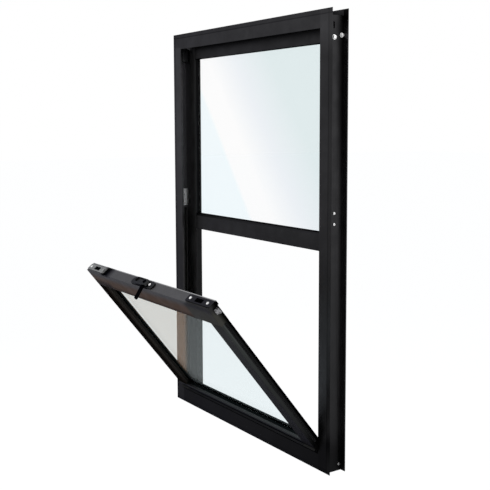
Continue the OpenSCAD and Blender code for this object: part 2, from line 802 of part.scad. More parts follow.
module tilt_latch(side)
    on_sash() on_side(side) translate([-sash_half, latch_y, sash_h]) difference() {
        union() {
            linear_extrude(latch_plate_t)
                round_area(latch_plate_in, -latch_w / 2, latch_l, latch_w / 2, latch_plate_r);
            translate([latch_body_x, -latch_body_w / 2, -latch_deep])
                cube([latch_body_l, latch_body_w, latch_deep]);
        }
        translate([latch_body_x - cut, -bolt_w / 2 - seat / 3, -latch_deep - cut])
            cube([latch_body_l + 2 * cut, bolt_w + seat * 2 / 3, latch_deep - latch_roof + cut]);
        translate([latch_mid - latch_slot_l / 2, -latch_slot_w / 2, -latch_roof - cut])
            cube([latch_slot_l, latch_slot_w, latch_plate_t + latch_roof + 2 * cut]);
        for (x = latch_screw_x) translate([x, 0, -cut])
            cylinder(r = boss_hole_r, h = latch_plate_t + 2 * cut);
    }

module tilt_latch_left() color([0.32, 0.33, 0.34]) tilt_latch(LEFT);

module tilt_latch_right() color([0.16, 0.16, 0.17]) tilt_latch(RIGHT);

// bolt with a slanted nose outside the sash
module latch_bolt(side)
    on_sash() on_side(side) translate([-sash_half, latch_y, sash_h - bolt_low])
    linear_extrude(bolt_h)
    polygon([
        [-bolt_out, bolt_w / 2], [-bolt_out, bolt_w / 2 - bolt_nose_t], [-bolt_nose_in, -bolt_w / 2],
        [latch_slot_end, -bolt_w / 2], [latch_slot_end, bolt_w / 2]
    ]);

// ribbed finger piece that stands on the bolt inside the slot
button_l = latch_slot_l - 4;
button_rib = 1.2;
button_pitch = 2.6;
// heights of the button's base and of its ribs over the bolt
button_low = latch_roof + seat + 0.4;
button_high = latch_roof + seat + latch_plate_t - 0.2;

module latch_button(side)
    on_sash() on_side(side)
    translate([-sash_half + latch_mid - latch_slot_l / 2 + seat, latch_y - latch_slot_w / 2 + seat,
        sash_h - latch_roof - seat]) {
        cube([button_l, latch_slot_w - 2 * seat, button_low]);
        for (x = [button_rib : button_pitch : button_l - 2 * button_rib]) translate([x, 0, 0])
            cube([button_rib, latch_slot_w - 2 * seat, button_high]);
    }

module latch_buttons() color([0.08, 0.08, 0.08]) for (side = [LEFT, RIGHT]) latch_button(side);

module latch_bolt_left() color([0.62, 0.63, 0.64]) latch_bolt(LEFT);

module latch_bolt_right() color([0.62, 0.63, 0.64]) latch_bolt(RIGHT);

module latch_screws() color([0.85, 0.85, 0.85]) on_sash()
    for (side = [LEFT, RIGHT], x = latch_screw_x) on_side(side)
        translate([-sash_half + x, latch_y, sash_h + latch_plate_t])
        pan_screw(latch_plate_t + sash_wall);

// cam lock in the middle of the top rail
lock_y = sash_t / 2 + 0.6;
pivot_pin_r = 3;
pin_head_r = 4.2;
pin_head_h = 1;
// half width of the housing, the bevel round its top and the rim left round its trough
house_half = lock_w / 2 - 1;
house_bevel = 1.3;
house_rim = 3;
// the lever lies in a slot just above the base
lever_low = lock_base_h + seat;
lever_high = lever_low + lever_t;
lever_eye_r = house_half - 2;
lever_tip_r = 3;
// distance from the pivot at which the lever bends down
lever_bend = lock_w / 2 + 2;
trough_x = [-lock_house_l / 2 + house_rim, lock_pivot_x - lever_eye_r - 1];

module lock_base() color([0.1, 0.1, 0.1]) on_sash() translate([0, lock_y, sash_h]) difference() {
    union() {
        linear_extrude(lock_base_h) stadium(lock_l, lock_w);
        lock_housing();
    }
    translate([lock_pivot_x, 0, -cut]) cylinder(r = pivot_pin_r, h = lock_house_h + 2 * cut);
    translate([0, 0, lock_base_h]) linear_extrude(lever_t + 2 * seat) lever_room();
    translate([(trough_x[0] + trough_x[1]) / 2, 0, lock_house_h - lock_trough])
        linear_extrude(lock_trough + cut)
        stadium(trough_x[1] - trough_x[0], 2 * (house_half - house_rim));
    for (x = [-lock_screw_span / 2, lock_screw_span / 2]) translate([x, 0, -cut])
        cylinder(r = boss_hole_r, h = lock_base_h + 2 * cut);
}

// housing with round ends and its upper edge bevelled all round
module lock_housing() {
    end_x = lock_house_l / 2 - house_half;
    along_x(-end_x, end_x) {
        housing_side();
        mirror([1, 0]) housing_side();
    }
    for (x = [-end_x, end_x]) translate([x, 0, 0]) rotate_extrude() housing_side();
}

module housing_side()
    polygon([
        [0, 0], [house_half, 0], [house_half, lock_house_h - house_bevel],
        [house_half - house_bevel, lock_house_h], [0, lock_house_h]
    ]);

// room for the lever's eye and its way out over the front of the sash
module lever_room()
    translate([lock_pivot_x, 0]) {
        circle(lever_eye_r + seat);
        area(-lever_w / 2 - seat, -lock_w, lever_w / 2 + seat, 0);
    }

// lever turned to the open side, bending down over the front of the sash
module lock_lever() color([0.08, 0.08, 0.08]) on_sash() translate([lock_pivot_x, lock_y, sash_h]) {
    translate([0, 0, seat]) cylinder(r = pivot_pin_r - seat / 2, h = lock_house_h);
    translate([0, 0, lock_house_h]) cylinder(r = pin_head_r, h = pin_head_h);
    translate([0, 0, lever_low]) cylinder(r = lever_eye_r, h = lever_t);
    intersection() {
        along_x(-lever_w / 2 - cut, lever_w / 2 + cut) lever_side();
        along_z(lever_low - lever_drop - cut, lever_high + cut)
            round_area(-lever_w / 2, -lever_l, lever_w / 2, lever_tip_r, lever_tip_r);
    }
}

// side view of the lever: x is the depth from its pivot, y the height above the rail
module lever_side()
    polygon([
        [0, lever_low], [0, lever_high], [-lever_bend, lever_high],
        [-lever_l, lever_high - lever_drop], [-lever_l, lever_low - lever_drop],
        [-lever_bend, lever_low]
    ]);

module lock_screws() color([0.85, 0.85, 0.85]) on_sash()
    for (x = [-lock_screw_span / 2, lock_screw_span / 2])
        translate([x, lock_y, sash_h + lock_base_h]) pan_screw(lock_base_h + sash_wall);

frame_head();
frame_sill();
frame_jamb_left();
frame_jamb_right();
meeting_rail();
upper_glass();
upper_bead_top();
upper_bead_bottom();
upper_bead_left();
upper_bead_right();
upper_glazing_tape();
jamb_fillers();
sash_stop_left();
sash_stop_right();
balance_clip_left();
balance_clip_right();
balance_left();
balance_right();
balance_shoe_left();
balance_shoe_right();
pivot_bar_left();
pivot_bar_right();
corner_screws();
channel_screws();
sash_top_rail();
sash_bottom_rail();
sash_stile_left();
sash_stile_right();
sash_glass();
sash_bead_top();
sash_bead_bottom();
sash_bead_left();
sash_bead_right();
sash_glazing_tape();
sash_piles();
sash_bottom_seal();
tilt_latch_left();
tilt_latch_right();
latch_bolt_left();
latch_bolt_right();
latch_buttons();
latch_screws();
lock_base();
lock_lever();
lock_screws();
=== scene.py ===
import math
import random

import bmesh
import bpy
from mathutils import Matrix, Vector


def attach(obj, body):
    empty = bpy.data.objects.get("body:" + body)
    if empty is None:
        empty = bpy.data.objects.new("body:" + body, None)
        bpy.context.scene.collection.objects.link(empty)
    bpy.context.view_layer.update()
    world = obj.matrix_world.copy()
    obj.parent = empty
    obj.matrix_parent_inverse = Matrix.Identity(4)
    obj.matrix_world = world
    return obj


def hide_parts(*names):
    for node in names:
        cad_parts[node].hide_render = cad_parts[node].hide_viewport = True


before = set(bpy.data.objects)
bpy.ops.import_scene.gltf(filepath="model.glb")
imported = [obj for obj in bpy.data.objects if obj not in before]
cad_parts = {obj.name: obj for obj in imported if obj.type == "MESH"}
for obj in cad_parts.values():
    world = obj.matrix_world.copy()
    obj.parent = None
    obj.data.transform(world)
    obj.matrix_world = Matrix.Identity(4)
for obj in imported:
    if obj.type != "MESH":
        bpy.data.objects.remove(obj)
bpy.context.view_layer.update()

MM = 0.001

# the sash leans inwards about its pivots; its own frame has X along it, Y through it and Z up it
TILT = math.radians(38.4)
SASH_PIVOT = Vector((0, (12.25 - 41.3) * MM, (37.62 - 12) * MM))
SASH_T = 20.3 * MM
PIVOT_UP = 7.75 * MM
SASH_TO_PART = (
    Matrix.Translation(SASH_PIVOT)
    @ Matrix.Rotation(TILT, 4, "X")
    @ Matrix.Translation((0, -SASH_T / 2, -PIVOT_UP))
)
PART_TO_SASH = SASH_TO_PART.inverted()


# ---- node helpers

class Shade:
    """A node material that is built up by calls."""

    def __init__(self, name):
        self.material = bpy.data.materials.new(name)
        self.material.use_nodes = True
        self.tree = self.material.node_tree
        self.tree.nodes.clear()
        self.output = self.tree.nodes.new("ShaderNodeOutputMaterial")

    def add(self, kind, inputs=(), **props):
        made = self.tree.nodes.new(kind)
        for key, value in props.items():
            setattr(made, key, value)
        for key, value in dict(inputs).items():
            self.plug(made, key, value)
        return made

    def plug(self, made, key, value):
        socket = made.inputs[key]
        if isinstance(value, bpy.types.NodeSocket):
            self.tree.links.new(value, socket)
        else:
            socket.default_value = value

    def math(self, operation, *values, clamp=False):
        made = self.add("ShaderNodeMath", operation=operation, use_clamp=clamp)
        for i, value in enumerate(values):
            self.plug(made, i, value)
        return made.outputs[0]

    def ramp(self, value, low, high, to_low=0.0, to_high=1.0, smooth=True):
        made = self.add(
            "ShaderNodeMapRange",
            {"Value": value, "From Min": low, "From Max": high, "To Min": to_low, "To Max": to_high},
            interpolation_type="SMOOTHSTEP" if smooth else "LINEAR",
        )
        return made.outputs["Result"]

    def times(self, first, *others):
        for other in others:
            first = self.math("MULTIPLY", first, other)
        return first

    def within(self, value, low, high):
        return self.times(self.math("GREATER_THAN", value, low), self.math("LESS_THAN", value, high))

    def scale_where(self, mask, level):
        """A factor that is the level where the mask is 1 and 1 where it is 0."""
        less = self.math("SUBTRACT", level, 1.0)
        return self.math("ADD", self.times(mask, less), 1.0)

    def gain(self, tone, level):
        grey = self.add("ShaderNodeCombineXYZ", {"X": level, "Y": level, "Z": level}).outputs[0]
        return self.blend(1.0, tone, grey, "MULTIPLY")

    def position(self):
        return self.add("ShaderNodeTexCoord").outputs["Object"]

    def turned(self, matrix):
        """The object position seen in another frame, as three sockets."""
        location = self.position()
        euler = matrix.to_euler()
        made = self.add(
            "ShaderNodeMapping",
            {"Vector": location, "Location": matrix.to_translation(), "Rotation": euler},
            vector_type="POINT",
        )
        return self.axes(made.outputs[0])

    def axes(self, vector=None):
        made = self.add("ShaderNodeSeparateXYZ", {"Vector": vector or self.position()})
        return made.outputs["X"], made.outputs["Y"], made.outputs["Z"]

    def noise(self, scale, detail=2.0, roughness=0.5, vector=None):
        made = self.add(
            "ShaderNodeTexNoise",
            {
                "Vector": vector or self.position(),
                "Scale": scale,
                "Detail": detail,
                "Roughness": roughness,
            },
        )
        return made.outputs["Fac"]

    def blend(self, factor, a, b, kind="MIX"):
        made = self.add("ShaderNodeMix", data_type="RGBA", blend_type=kind)
        self.plug(made, "Factor", factor)
        for index, value in ((6, a), (7, b)):
            if isinstance(value, (tuple, list)) and len(value) == 3:
                value = (*value, 1.0)
            self.plug(made, index, value)
        return made.outputs[2]

    def bump(self, height, strength, distance, under=None):
        inputs = {"Height": height, "Strength": strength, "Distance": distance}
        if under is not None:
            inputs["Normal"] = under
        return self.add("ShaderNodeBump", inputs).outputs["Normal"]

    def finish(self, shader):
        self.tree.links.new(shader, self.output.inputs["Surface"])
        return self.material


def scaled(colour, factor):
    return tuple(min(1.0, c * factor) for c in colour)


# ---- materials

def black_anodised(name, colour, rough=0.42, grain=1.0, shade=None, glance=0.4):
    """Black anodised aluminium: faint mottling, a fine drawn grain and a soft even sheen."""
    s = Shade(name)
    mottle = s.noise(14, 4)
    tone = s.blend(mottle, scaled(colour, 0.9), scaled(colour, 1.12))
    if shade is not None:
        tone = shade(s, tone)
    gloss = s.ramp(s.noise(38, 3), 0.3, 0.7, rough - 0.05, rough + 0.06)
    peel = s.noise(1500, 2)
    normal = s.bump(peel, 0.2 * grain, 0.0002)
    shader = s.add(
        "ShaderNodeBsdfPrincipled",
        {
            "Base Color": tone,
            "Metallic": 1.0,
            "Roughness": gloss,
            "Specular Tint": (glance, glance, glance * 1.05, 1.0),
            "Normal": normal,
        },
    )
    return s.finish(shader.outputs[0])


def frame_painted_light(s, tone):
    """Painted light and shade on the frame: a painted shadow line in the groove, the indoor face's outer strip
    dimmed lower down, the deep legs lightened and the head's leg darkened under the head, painted light and
    shade up the jambs and webs, and painted shade on the sill and the back flange.
    """
    x, y, z = s.axes()
    across = s.math("ABSOLUTE", x)
    indoor = s.math("LESS_THAN", y, -0.0388)
    # A painted shadow line in the groove between the outer strip and the face.
    line = s.math("MAXIMUM", s.within(across, 0.2943, 0.2967), s.within(z, 0.8913, 0.8937))
    strip = s.math(
        "MAXIMUM", s.math("GREATER_THAN", across, 0.2955), s.math("GREATER_THAN", z, 0.8925)
    )
    before_back = s.math("LESS_THAN", y, -0.0012)
    inside = s.times(s.ramp(y, -0.036, -0.030), s.math("LESS_THAN", across, 0.292), before_back)
    leg = s.times(inside, s.math("GREATER_THAN", across, 0.2445))
    leg_end = s.times(leg, s.math("LESS_THAN", across, 0.2454))
    left = s.times(indoor, s.math("LESS_THAN", x, -0.27), s.math("LESS_THAN", z, 0.87))
    right = s.math("GREATER_THAN", x, 0.27)
    web = s.times(s.within(across, 0.2922, 0.2936), s.math("GREATER_THAN", y, -0.0388))
    sill_face = s.times(s.math("LESS_THAN", z, 0.03), s.math("LESS_THAN", across, 0.270), before_back)
    # Painted light and shade up the right jamb's face: brighter low and at the top, dimmer between.
    right_level = s.times(s.ramp(z, 0.06, 0.30, 1.6, 0.93), s.ramp(z, 0.30, 0.50, 1.0, 0.84))
    right_level = s.math("ADD", right_level, s.ramp(z, 0.80, 0.87, 0.0, 0.45))
    web_fade = s.scale_where(s.ramp(z, 0.5, 0.75), s.ramp(y, -0.024, -0.010, 1.0, 0.45))
    back_flange = s.math(
        "MAXIMUM", s.math("GREATER_THAN", across, 0.2936), s.math("GREATER_THAN", z, 0.885)
    )
    back_flange = s.times(back_flange, s.within(y, -0.003, -0.0012))
    # Every factor below paints light or shade into the paint's tone.
    level = s.times(
        s.scale_where(s.times(line, indoor), 0.68),
        s.scale_where(
            s.times(strip, indoor),
            s.times(s.ramp(z, 0.02, 0.30, 0.36, 0.95), s.ramp(z, 0.0, 0.06, 2.8, 1.0)),
        ),
        s.scale_where(leg, s.ramp(across, 0.252, 0.283, 1.9, 4.5)),
        s.scale_where(
            s.times(inside, s.math("LESS_THAN", across, 0.2445)), s.ramp(z, 0.845, 0.876, 0.75, 0.4)
        ),
        s.scale_where(leg_end, 0.2),
        s.scale_where(sill_face, s.ramp(x, -0.1, 0.26, 0.56, 0.33, smooth=False)),
        s.scale_where(s.times(right, indoor), s.ramp(z, 0.10, 0.045, 1.0, 0.18)),
        s.scale_where(left, s.ramp(z, 0.30, 0.62, 0.82, 1.32)),
        s.scale_where(s.times(right, indoor), right_level),
        s.scale_where(
            web, s.times(s.ramp(z, 0.06, 0.30, 0.78, 0.9), web_fade, s.ramp(z, 0.09, 0.02, 1.0, 0.4))
        ),
        s.scale_where(
            back_flange, s.times(s.ramp(z, 0.865, 0.885, 2.5, 0.2), s.ramp(z, 0.01, 0.08, 0.2, 1.0))
        ),
    )
    return s.gain(tone, s.times(level, 1.17))


def sash_painted_light(s, tone):
    """Painted light on the sash: a pale top rail with a painted highlight on its outdoor edge, a painted brown
    reflection lower on its face that gives way to a darker one on the right, a painted shadow beside the left
    latch, stiles shaded darker lower down with a painted highlight on one corner, and a painted pale band of
    light on the bottom rail over painted shade.
    """
    x, y, z = s.turned(PART_TO_SASH)
    # Painted reflection: the top rail's face turns darker towards the right.
    far = s.ramp(s.math("SUBTRACT", x, s.ramp(z, 0.420, 0.427, 0.0, 0.014)), 0.166, 0.180)
    # Painted light pales the top, a painted brown reflection warms the face lower down, and painted shade
    # darkens its foot.
    rail_tone = s.blend(s.ramp(z, 0.424, 0.402), (0.085, 0.085, 0.088), (0.092, 0.063, 0.046))
    rail_tone = s.blend(s.ramp(z, 0.394, 0.386), rail_tone, (0.052, 0.034, 0.023))
    near_tone = s.blend(s.ramp(z, 0.420, 0.408), (0.034, 0.034, 0.034), (0.054, 0.054, 0.048))
    rail_tone = s.blend(far, rail_tone, near_tone)
    # A painted highlight along the outdoor edge of the top.
    edge = s.times(s.math("GREATER_THAN", y, 0.0212), s.math("GREATER_THAN", z, 0.426))
    rail_tone = s.blend(edge, rail_tone, (0.26, 0.26, 0.265))
    # A painted shadow beside the left latch, and painted shade on the rail's lower left end.
    latch_shadow = s.times(s.ramp(x, -0.196, -0.190), s.ramp(x, -0.138, -0.174), s.math("GREATER_THAN", z, 0.423))
    left_end = s.times(s.ramp(x, -0.170, -0.195), s.ramp(z, 0.406, 0.394))

    across = s.math("ABSOLUTE", x)
    on_side = s.math("GREATER_THAN", across, 0.2675)
    # The stiles: painted shade lower down and deeper in the pile groove, with a painted highlight along the
    # right stile's corner.
    face = s.blend(s.ramp(z, 0.10, 0.37), (0.022, 0.022, 0.021), (0.035, 0.036, 0.033))
    face = s.blend(s.ramp(z, 0.09, 0.03), face, (0.024, 0.024, 0.023))
    face = s.blend(s.ramp(z, 0.03, 0.02), face, (0.014, 0.014, 0.014))
    side = s.blend(s.ramp(z, 0.03, 0.34), (0.0125, 0.0128, 0.013), (0.023, 0.025, 0.0245))
    corner_line = s.times(s.within(y, 0.0045, 0.0072), s.ramp(z, 0.26, 0.36))
    deeper = s.times(
        s.ramp(y, 0.007, 0.011, 1.3, 0.62, smooth=False), s.ramp(y, 0.011, 0.016, 1.0, 0.08, smooth=False)
    )
    stile = s.blend(on_side, face, s.gain(side, s.times(deeper, s.scale_where(corner_line, 1.5))))
    rail_level = s.times(
        s.scale_where(latch_shadow, 0.08), s.scale_where(left_end, 0.4), s.scale_where(on_side, s.times(deeper, 0.55))
    )

    # The bottom rail: a painted band of light over painted shade at its foot.
    low = s.blend(s.ramp(z, 0.029, 0.033), (0.0125, 0.0128, 0.0135), (0.037, 0.039, 0.040))
    low = s.blend(s.ramp(z, 0.011, 0.008), low, (0.006, 0.006, 0.0065))
    foot = s.times(s.math("LESS_THAN", z, 0.038), s.math("LESS_THAN", across, 0.2316))
    tone = s.blend(foot, stile, low)
    return s.blend(s.ramp(z, 0.380, 0.382), tone, s.gain(rail_tone, rail_level))


def left_stile_painted_shade(s, tone):
    """Painted shade on the left stile: its face nearly black with a warm painted reflection, its side less
    dark.
    """
    y = s.turned(PART_TO_SASH)[1]
    return s.blend(s.ramp(y, 0.0, 0.009), (0.019, 0.0155, 0.0135), (0.037, 0.035, 0.033))


def latch_painted_shadow(s, tone):
    """A painted shadow darkens the inner end of the left latch to near black."""
    x = s.turned(PART_TO_SASH)[0]
    return s.gain(tone, s.ramp(x, -0.193, -0.189, 1.0, 0.06))


def clip_painted_shade(s, tone):
    """Painted shade darkens the inner part of the clip, in its recess."""
    x = s.axes()[0]
    return s.gain(tone, s.ramp(s.math("ABSOLUTE", x), 0.2785, 0.2850, 0.08, 1.0))


def bolt_painted_shade(s, tone):
    """Painted shade darkens each bolt except its outer end, with dark marks on the end."""
    x = s.turned(PART_TO_SASH)[0]
    marks = s.ramp(s.noise(420, 2), 0.5, 0.56, 1.0, 0.25)
    return s.gain(tone, s.times(s.ramp(s.math("ABSOLUTE", x), 0.2700, 0.2706, 0.1, 1.0), marks))


def screw_painted_shade(s, tone):
    """Painted shade darkens the left latch's inner screw and the lowest screws."""
    x, _, z = s.axes()
    shaded_screws = s.math("MAXIMUM", s.within(x, -0.21, -0.18), s.math("LESS_THAN", z, 0.1))
    return s.gain(tone, s.scale_where(shaded_screws, 0.3))


def vinyl(name, colour, rough=0.5, dusty=2.2):
    """Soft black glazing vinyl with fine drawn lines and a dusty bloom."""
    s = Shade(name)
    dust = s.ramp(s.noise(60, 5, 0.65), 0.45, 0.8)
    tone = s.blend(dust, colour, scaled(colour, dusty))
    shader = s.add(
        "ShaderNodeBsdfPrincipled",
        {
            "Base Color": tone,
            "Roughness": s.ramp(s.noise(120, 3), 0.3, 0.7, rough - 0.08, rough + 0.1),
            "Specular IOR Level": 0.2,
            "Normal": s.bump(s.noise(700, 3), 0.2, 0.0002),
        },
    )
    return s.finish(shader.outputs[0])


def metal(name, colour, rough, grain, worn=0.6, shade=None, metallic=1.0):
    """Plated steel or zinc: cloudy tone, fine scratches, roughness that varies."""
    s = Shade(name)
    cloud = s.noise(180, 4, 0.6)
    tone = s.blend(s.ramp(cloud, 0.35, 0.7), scaled(colour, worn), colour)
    if shade is not None:
        tone = shade(s, tone)
    stretched = s.add(
        "ShaderNodeMapping", {"Vector": s.position(), "Scale": (900.0, 900.0, 90.0)}
    ).outputs[0]
    scratches = s.noise(1.0, 3, vector=stretched)
    shader = s.add(
        "ShaderNodeBsdfPrincipled",
        {
            "Base Color": tone,
            "Metallic": metallic,
            "Roughness": s.ramp(cloud, 0.3, 0.7, rough - 0.07, rough + 0.1),
            "Normal": s.bump(scratches, grain, 0.0001),
        },
    )
    return s.finish(shader.outputs[0])


def nylon(name, colour, rough=0.4, shade=None):
    """Moulded plastic with a fine spark-eroded texture."""
    s = Shade(name)
    tone = s.blend(s.noise(35, 3), scaled(colour, 0.8), scaled(colour, 1.25))
    if shade is not None:
        tone = shade(s, tone)
    shader = s.add(
        "ShaderNodeBsdfPrincipled",
        {
            "Base Color": tone,
            "Roughness": s.ramp(s.noise(90, 2), 0.3, 0.7, rough - 0.06, rough + 0.08),
            "Specular IOR Level": 0.3,
            "Normal": s.bump(s.noise(2200, 2), 0.25, 0.0002),
        },
    )
    return s.finish(shader.outputs[0])


def pile_fibre(name):
    s = Shade(name)
    fibre = s.noise(1800, 4, 0.7)
    tone = s.blend(fibre, (0.003, 0.003, 0.004), (0.014, 0.014, 0.015))
    shader = s.add(
        "ShaderNodeBsdfPrincipled",
        {
            "Base Color": tone,
            "Roughness": 0.95,
            "Specular IOR Level": 0.1,
            "Sheen Weight": 0.1,
            "Normal": s.bump(fibre, 0.8, 0.0006),
        },
    )
    return s.finish(shader.outputs[0])


def pane(name, tint, veil_colour, veil):
    """Clear glass with a see-through colour and a thin veil, each given as sockets; the colour and the veil's
    colour are painted reflection, the veil's gloss is real.
    """
    s = Shade(name)
    clear = s.add("ShaderNodeBsdfTransparent", {"Color": tint(s)})
    coat = s.add(
        "ShaderNodeBsdfPrincipled",
        {
            "Base Color": veil_colour(s),
            "Roughness": s.ramp(s.noise(9, 3), 0.3, 0.7, 0.04, 0.09),
            "Specular IOR Level": 0.3,
        },
    )
    mixed = s.add("ShaderNodeMixShader", {"Fac": veil(s)})
    s.tree.links.new(clear.outputs[0], mixed.inputs[1])
    s.tree.links.new(coat.outputs[0], mixed.inputs[2])
    return s.finish(mixed.outputs[0])


def upper_painted_reflection(s):
    """Painted reflection in the see-through colour: faintly cyan low on the left, a white band with a crisp
    edge, then dimmer towards the far top.
    """
    x, _, z = s.axes()
    u = s.math("ADD", s.math("MULTIPLY", x, 1.393), s.math("SUBTRACT", z, 0.429))
    tone = s.blend(s.ramp(u, 0.0, 0.02), (0.951, 0.986, 0.999), (1.0, 1.0, 1.0))
    tone = s.blend(s.ramp(u, 0.13, 0.285, smooth=False), tone, (0.933, 0.951, 0.969))
    return s.blend(s.ramp(u, 0.285, 0.47, smooth=False), tone, (0.874, 0.922, 0.927))


# The veil's colour is a painted reflection, and its weight sets how much of it is added.
def upper_veil_colour(s):
    return s.blend(s.noise(6, 2), (0.88, 0.90, 0.90), (0.92, 0.93, 0.93))


def upper_veil(s):
    return s.ramp(s.noise(5, 2), 0.3, 0.7, 0.028, 0.034)


def sash_clear_side(s):
    """1 on the clear right part of the pane, 0 on the left part that holds a warm painted reflection; the
    change is upright and soft.
    """
    x, y, _ = s.axes()
    reach = s.math("ADD", s.math("MULTIPLY", x, 0.4993), s.math("MULTIPLY", y, 0.8665))
    return s.ramp(reach, -0.170, -0.158)


# Painted reflection: the see-through colour is dimmer on the left part.
def sash_painted_reflection(s):
    return s.blend(sash_clear_side(s), (0.856, 0.892, 0.893), (0.957, 0.992, 1.0))


# Painted reflection: a brown veil colour on the left part, grey-green on the right.
def sash_veil_colour(s):
    return s.blend(sash_clear_side(s), (0.98, 0.58, 0.31), (0.67, 0.76, 0.76))


# How much painted reflection the veil adds: more on the left part, none along the left edge and little near the
# bottom.
def sash_veil(s):
    x, _, z = s.turned(PART_TO_SASH)
    return s.times(
        s.ramp(sash_clear_side(s), 0.0, 1.0, 0.20, 0.11),
        s.ramp(x, -0.202, -0.196),
        s.ramp(z, 0.048, 0.060, 0.1, 1.0),
    )


# ---- mesh helpers

def islands(node):
    """The separate solids of a CAD node, as lists of points."""
    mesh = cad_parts[node].data
    bm = bmesh.new()
    bm.from_mesh(mesh)
    bmesh.ops.remove_doubles(bm, verts=bm.verts, dist=1e-6)
    seen, found = set(), []
    for start in bm.verts:
        if start.index in seen:
            continue
        stack, points = [start], []
        seen.add(start.index)
        while stack:
            v = stack.pop()
            points.append(v.co.copy())
            for edge in v.link_edges:
                other = edge.other_vert(v)
                if other.index not in seen:
                    seen.add(other.index)
                    stack.append(other)
        found.append(points)
    bm.free()
    return found


def corners(points):
    low = Vector([min(p[i] for p in points) for i in range(3)])
    high = Vector([max(p[i] for p in points) for i in range(3)])
    return low, high


def new_piece(name, bm, material, body="root", smooth=True, sharp=0.6):
    mesh = bpy.data.meshes.new(name)
    bmesh.ops.recalc_face_normals(bm, faces=bm.faces)
    bm.to_mesh(mesh)
    bm.free()
    piece = bpy.data.objects.new(name, mesh)
    bpy.context.scene.collection.objects.link(piece)
    piece.data.materials.append(material)
    if smooth:
        for p in mesh.polygons:
            p.use_smooth = True
        mesh.set_sharp_from_angle(angle=sharp)
    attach(piece, body)
    return piece


def rings(bm, loops, closed=True):
    """Skins a list of equal rings of points; a single point may close either end."""
    made = [[bm.verts.new(p) for p in ring] for ring in loops]
    for a, b in zip(made, made[1:]):
        n = max(len(a), len(b))
        for i in range(n if closed else n - 1):
            j = (i + 1) % n
            if len(a) == 1:
                bm.faces.new((a[0], b[i], b[j]))
            elif len(b) == 1:
                bm.faces.new((a[i], b[0], a[j]))
            else:
                bm.faces.new((a[i], b[i], b[j], a[j]))
    return made


def cross_depth(x, y, arm, width):
    """How deep a point lies in a cross recess, from 0 to 1."""
    along, off = max(abs(x), abs(y)), min(abs(x), abs(y))
    if along > arm or off > width:
        return 0.0
    return min(1.0, (arm - along) / (0.3 * arm), (width - off) / (0.35 * width) + 0.25)


def screw_head(bm, place, profile, shank_r, length, arm, width, recess, hexagon=0.0, turn=0.0):
    """A lathed head with a cross recess on a plain shank; place maps the head's axis Z."""
    steps = 36
    loops = [[Vector((0, 0, -length))]]
    loops.append(circle(shank_r * 0.6, -length, steps))
    loops.append(circle(shank_r, -length + shank_r * 0.6, steps))
    loops.append(circle(shank_r, 0, steps))
    for r, z, six in profile:
        loops.append(circle(r, z, steps, hexagon if six else 0.0))
    top_r, top_z = profile[-1][0], profile[-1][1]
    inner = 9
    for k in range(inner - 1, 0, -1):
        ring = []
        for p in circle(top_r * k / inner, top_z, steps):
            q = Matrix.Rotation(turn, 3, "Z") @ p
            p.z -= recess * cross_depth(q.x, q.y, arm, width)
            ring.append(p)
        loops.append(ring)
    loops.append([Vector((0, 0, top_z - recess))])
    rings(bm, [[place @ p for p in ring] for ring in loops])


def circle(r, z, steps, hexagon=0.0):
    ring = []
    for i in range(steps):
        a = 2 * math.pi * i / steps
        reach = r
        if hexagon:
            in_side = (a + math.pi / 6) % (math.pi / 3) - math.pi / 6
            reach = r * math.cos(math.pi / 6) / math.cos(in_side)
        ring.append(Vector((reach * math.cos(a), reach * math.sin(a), z)))
    return ring


PAN_R = 3.3 * MM
PAN_PROFILE = [
    (PAN_R, 0.0, False), (PAN_R, 0.5 * MM, False), (PAN_R * 0.93, 1.1 * MM, False),
    (PAN_R * 0.78, 1.6 * MM, False), (PAN_R * 0.6, 1.9 * MM, False), (PAN_R * 0.55, 1.95 * MM, False),
]
HEX_R = 4.0 * MM
WASHER_R = 5.0 * MM
HEX_PROFILE = [
    (WASHER_R, 0.0, False), (WASHER_R, 0.8 * MM, False), (WASHER_R * 0.95, 1.15 * MM, False),
    (HEX_R * 1.04, 1.2 * MM, True), (HEX_R, 1.5 * MM, True), (HEX_R, 3.5 * MM, True),
    (HEX_R * 0.9, 3.95 * MM, True), (HEX_R * 0.62, 4.0 * MM, False), (HEX_R * 0.55, 3.6 * MM, False),
]


def axis_place(centre, axis, turn=0.0):
    aim = axis.to_track_quat("Z", "Y").to_matrix().to_4x4()
    return Matrix.Translation(centre) @ aim @ Matrix.Rotation(turn, 4, "Z")


def sash_screws(name, node, material):
    """Pan head screws standing on the sash's top rail, where the CAD has them."""
    rnd = random.Random(7)
    bm = bmesh.new()
    for points in islands(node):
        low, high = corners([PART_TO_SASH @ p for p in points])
        head = Vector(((low.x + high.x) / 2, (low.y + high.y) / 2, high.z - 2.0 * MM))
        place = SASH_TO_PART @ Matrix.Translation(head) @ Matrix.Rotation(rnd.uniform(0, 1.5), 4, "Z")
        screw_head(bm, place, PAN_PROFILE, 1.8 * MM, head.z - low.z, 1.9 * MM, 0.42 * MM, 0.8 * MM)
    piece = new_piece(name, bm, material)
    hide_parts(node)
    return piece


def web_screws(name, node, material):
    """Hexagon washer heads and pan heads on the webs of the jambs, where the CAD has them."""
    rnd = random.Random(11)
    bm = bmesh.new()
    for points in islands(node):
        low, high = corners(points)
        right = low.x + high.x > 0
        axis = Vector((1, 0, 0)) if right else Vector((-1, 0, 0))
        centre = (low + high) / 2
        radius = (high.y - low.y) / 2
        pan = radius < 4.2 * MM
        head_h = 2.0 * MM if pan else 4.0 * MM
        seat_x = high.x - head_h if right else low.x + head_h
        place = axis_place(Vector((seat_x, centre.y, centre.z)), axis, rnd.uniform(0, 1.5))
        length = high.x - low.x - head_h
        if pan:
            screw_head(bm, place, PAN_PROFILE, 1.8 * MM, length, 1.9 * MM, 0.42 * MM, 0.8 * MM)
        else:
            screw_head(bm, place, HEX_PROFILE, 1.8 * MM, length, 1.9 * MM, 0.42 * MM, 0.3 * MM, HEX_R)
    piece = new_piece(name, bm, material)
    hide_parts(node)
    return piece


